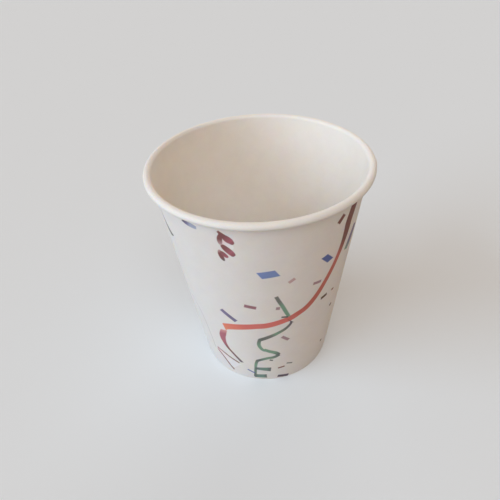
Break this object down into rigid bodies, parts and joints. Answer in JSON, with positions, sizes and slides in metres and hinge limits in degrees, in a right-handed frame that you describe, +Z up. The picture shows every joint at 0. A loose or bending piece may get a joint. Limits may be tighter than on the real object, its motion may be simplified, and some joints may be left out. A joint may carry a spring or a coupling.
{
  "type": "paper cup",
  "caption": "Tapered single-wall paper cup with a curled rim, lapped side seam, recessed base and a streamer-and-confetti print, for serving a drink.",
  "frame": {"origin": "centre of the foot ring, on the surface the cup stands on", "axes": "+Z up along the cup's axis; the pictured front is -Y and the side seam is on the +X side"},
  "size_m": [0.078, 0.078, 0.088],
  "materials": {
    "wall_board": "satin coated paperboard, printed outside",
    "base_board": "satin coated paperboard"
  },
  "bodies": {
    "root": {"side_wall": "wall_board", "base_disc": "base_board"}
  },
  "joints": []
}
